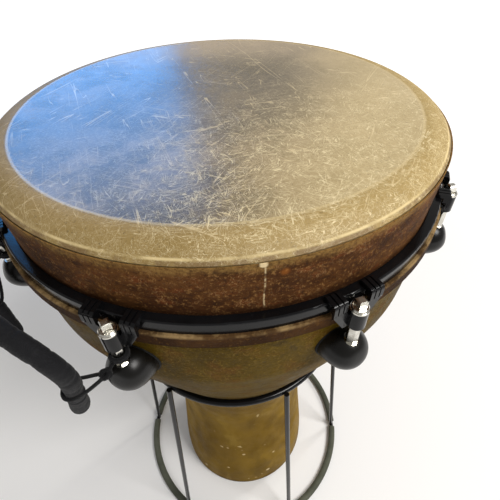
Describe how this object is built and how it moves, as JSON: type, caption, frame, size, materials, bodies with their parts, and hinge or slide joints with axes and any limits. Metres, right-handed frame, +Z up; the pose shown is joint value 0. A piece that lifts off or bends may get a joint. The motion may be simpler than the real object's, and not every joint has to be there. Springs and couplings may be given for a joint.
{
  "type": "djembe hand drum",
  "caption": "Key-tuned goblet-shaped hand drum with a flat head, hooked tuning brackets on round lugs and a short side strap, standing in a wire floor stand.",
  "frame": {"origin": "centre of the shell's foot, on the floor", "axes": "+Z up along the drum's axis; -Y towards the player, so the strap hangs to the player's left"},
  "size_m": [0.3879, 0.3879, 0.635],
  "materials": {
    "shell_finish": "mottled olive-gold moulded fibre shell, satin",
    "head_skin": "brown-gold fibrous skin pattern, semi-gloss",
    "collar_skin": "dark red-brown fibrous, satin",
    "band_skin": "brown, satin",
    "black_paint": "satin black powder coat",
    "bright_plating": "bright plating",
    "casing_black": "satin black",
    "gasket_rubber": "matt",
    "plain_steel": "zinc plated",
    "sleeve_rubber": "matt grey-olive hose",
    "strap_fabric": "padded woven black",
    "cord_fabric": "braided black"
  },
  "bodies": {
    "stand": {"stand_floor_ring": "black_paint", "floor_ring_sleeves": "sleeve_rubber", "stand_top_ring": "black_paint", "stand_rod_1": "black_paint", "stand_rod_2": "black_paint", "stand_rod_3": "black_paint", "stand_rod_4": "black_paint", "stand_rod_5": "black_paint", "stand_rod_6": "black_paint"},
    "drum": {"shell": "shell_finish", "head_film": "head_skin", "receiver_nuts": "bright_plating", "lug_gaskets": "gasket_rubber", "lug_screws": "plain_steel", "lug_screw_washers": "plain_steel", "carry_strap": "strap_fabric", "strap_tie_front": "cord_fabric", "strap_tie_side": "cord_fabric", "lug_casing_1": "casing_black", "lug_casing_2": "casing_black", "lug_casing_3": "casing_black", "lug_casing_4": "casing_black", "lug_casing_5": "casing_black", "lug_casing_6": "casing_black", "lug_casing_7": "casing_black", "lug_casing_8": "casing_black"},
    "tension_ring": {"counter_hoop": "black_paint", "flesh_hoop": "plain_steel", "flesh_hoop_wrap": "band_skin", "head_collar": "collar_skin", "rod_washers": "bright_plating", "tuning_bracket_1": "black_paint", "tuning_bracket_2": "black_paint", "tuning_bracket_3": "black_paint", "tuning_bracket_4": "black_paint", "tuning_bracket_5": "black_paint", "tuning_bracket_6": "black_paint", "tuning_bracket_7": "black_paint", "tuning_bracket_8": "black_paint"},
    "rod_1": {"tension_rod_1": "bright_plating"},
    "rod_2": {"tension_rod_2": "bright_plating"},
    "rod_3": {"tension_rod_3": "bright_plating"},
    "rod_4": {"tension_rod_4": "bright_plating"},
    "rod_5": {"tension_rod_5": "bright_plating"},
    "rod_6": {"tension_rod_6": "bright_plating"},
    "rod_7": {"tension_rod_7": "bright_plating"},
    "rod_8": {"tension_rod_8": "bright_plating"}
  },
  "joints": [
    {"name": "drum_lift", "type": "slide", "parent": "stand", "child": "drum", "axis": [0, 0, 1], "range_m": [0, 0.38]},
    {"name": "head_tension", "type": "slide", "parent": "drum", "child": "tension_ring", "axis": [0, 0, -1], "range_m": [-0.002, 0.005]},
    {"name": "rod_1_turn", "type": "hinge", "parent": "tension_ring", "child": "rod_1", "pos_m": [-0.07401, -0.17868, 0.57], "axis": [0, 0, -1], "range_deg": [-690, 1710]},
    {"name": "rod_2_turn", "type": "hinge", "parent": "tension_ring", "child": "rod_2", "pos_m": [0.07401, -0.17868, 0.57], "axis": [0, 0, -1], "range_deg": [-690, 1710]},
    {"name": "rod_3_turn", "type": "hinge", "parent": "tension_ring", "child": "rod_3", "pos_m": [0.17868, -0.07401, 0.57], "axis": [0, 0, -1], "range_deg": [-690, 1710]},
    {"name": "rod_4_turn", "type": "hinge", "parent": "tension_ring", "child": "rod_4", "pos_m": [0.17868, 0.07401, 0.57], "axis": [0, 0, -1], "range_deg": [-690, 1710]},
    {"name": "rod_5_turn", "type": "hinge", "parent": "tension_ring", "child": "rod_5", "pos_m": [0.07401, 0.17868, 0.57], "axis": [0, 0, -1], "range_deg": [-690, 1710]},
    {"name": "rod_6_turn", "type": "hinge", "parent": "tension_ring", "child": "rod_6", "pos_m": [-0.07401, 0.17868, 0.57], "axis": [0, 0, -1], "range_deg": [-690, 1710]},
    {"name": "rod_7_turn", "type": "hinge", "parent": "tension_ring", "child": "rod_7", "pos_m": [-0.17868, 0.07401, 0.57], "axis": [0, 0, -1], "range_deg": [-690, 1710]},
    {"name": "rod_8_turn", "type": "hinge", "parent": "tension_ring", "child": "rod_8", "pos_m": [-0.17868, -0.07401, 0.57], "axis": [0, 0, -1], "range_deg": [-690, 1710]}
  ],
  "couplings": [
    {"joint": "rod_1_turn", "follows": "head_tension", "rad_per_m": 5936.9},
    {"joint": "rod_2_turn", "follows": "head_tension", "rad_per_m": 5936.9},
    {"joint": "rod_3_turn", "follows": "head_tension", "rad_per_m": 5936.9},
    {"joint": "rod_4_turn", "follows": "head_tension", "rad_per_m": 5936.9},
    {"joint": "rod_5_turn", "follows": "head_tension", "rad_per_m": 5936.9},
    {"joint": "rod_6_turn", "follows": "head_tension", "rad_per_m": 5936.9},
    {"joint": "rod_7_turn", "follows": "head_tension", "rad_per_m": 5936.9},
    {"joint": "rod_8_turn", "follows": "head_tension", "rad_per_m": 5936.9}
  ]
}
